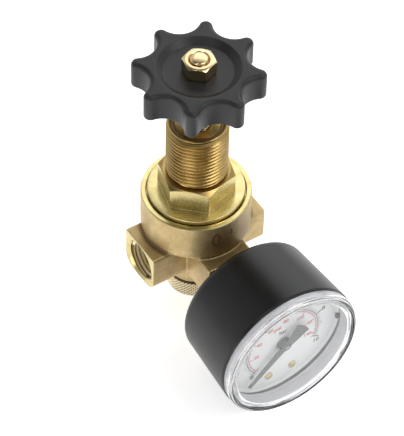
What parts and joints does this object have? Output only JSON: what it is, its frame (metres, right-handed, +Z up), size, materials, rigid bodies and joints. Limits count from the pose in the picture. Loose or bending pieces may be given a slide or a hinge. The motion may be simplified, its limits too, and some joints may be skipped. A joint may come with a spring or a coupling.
{
  "type": "air pressure regulator",
  "caption": "Panel-mount compressed air pressure regulator with star handwheel, threaded bonnet, threaded side ports and a dial pressure gauge.",
  "frame": {"origin": "centre of the flat end of the knurled bottom cap, on the bonnet axis", "axes": "+Z up the bonnet axis towards the handwheel, +X out of the outlet port, -X out of the inlet port, -Y out of the gauge's dial"},
  "size_m": [0.049, 0.0791, 0.1079],
  "materials": {
    "forged_brass": "blasted forging",
    "machined_brass": "turned, fine tool marks",
    "bright_brass": "polished",
    "handwheel_plastic": "moulded, satin",
    "case_plastic": "moulded, fine matte texture",
    "lens_plastic": "clear, polished",
    "dial_white": "printed white enamel",
    "ring_white": "moulded",
    "pointer_grey": "painted",
    "spring_steel": "drawn wire and turned steel",
    "seal_rubber": "matte"
  },
  "bodies": {
    "root": {"body": "forged_brass", "bottom_cap": "machined_brass", "cap_o_ring": "seal_rubber", "valve_spring": "spring_steel", "diaphragm": "seal_rubber", "slip_ring": "spring_steel", "setting_spring": "spring_steel", "bonnet": "machined_brass", "gauge_socket": "machined_brass", "gauge_seal": "seal_rubber", "gauge_case": "case_plastic", "gauge_lens": "lens_plastic", "dial_ring": "ring_white", "gauge_dial": "dial_white", "dial_posts": "machined_brass", "dial_screws": "bright_brass", "dial_key": "case_plastic", "bourdon_tube": "machined_brass", "tube_end": "machined_brass", "hairspring": "spring_steel", "rear_plate": "machined_brass", "front_plate": "machined_brass", "plate_pillars": "machined_brass", "plate_screws": "spring_steel"},
    "button": {"spring_button": "spring_steel"},
    "wheel": {"adjusting_spindle": "bright_brass", "handwheel": "handwheel_plastic", "handwheel_nut": "bright_brass"},
    "valve": {"valve_cone": "machined_brass", "valve_seal": "seal_rubber", "diaphragm_bolt": "machined_brass", "diaphragm_plate": "spring_steel", "diaphragm_nut": "spring_steel"},
    "sector": {"sector_gear": "machined_brass"},
    "pointer": {"pointer": "pointer_grey", "pointer_arbor": "spring_steel"},
    "link": {"link": "spring_steel"}
  },
  "joints": [
    {"name": "button_slide", "type": "slide", "parent": "root", "child": "button", "axis": [0, 0, 1], "range_m": [-0.01, 0], "deforming": ["setting_spring"]},
    {"name": "handwheel_turn", "type": "hinge", "parent": "button", "child": "wheel", "pos_m": [0, 0, 0.0933], "axis": [0, 0, 1], "range_deg": [-2880, 0]},
    {"name": "valve_lift", "type": "slide", "parent": "root", "child": "valve", "axis": [0, 0, 1], "range_m": [-0.001, 0], "stiffness_N_per_m": 300, "springref_m": 0.002, "deforming": ["valve_spring", "diaphragm"]},
    {"name": "sector_turn", "type": "hinge", "parent": "root", "child": "sector", "pos_m": [0.0081, -0.041, 0.00935], "axis": [0, 1, 0], "range_deg": [-45, 0], "stiffness_Nm_per_rad": 0.002, "springref_deg": 8.59},
    {"name": "pointer_turn", "type": "hinge", "parent": "root", "child": "pointer", "pos_m": [0, -0.05225, 0.019], "axis": [0, 1, 0], "range_deg": [0, 270]},
    {"name": "link_swing", "type": "hinge", "parent": "sector", "child": "link", "pos_m": [0.00993, -0.0418, 0.00673], "axis": [0, 1, 0], "range_deg": [0, 45]}
  ],
  "couplings": [
    {"joint": "handwheel_turn", "follows": "button_slide", "rad_per_m": 5026.5},
    {"joint": "pointer_turn", "follows": "sector_turn", "ratio": -6},
    {"joint": "link_swing", "follows": "sector_turn", "ratio": -1}
  ]
}
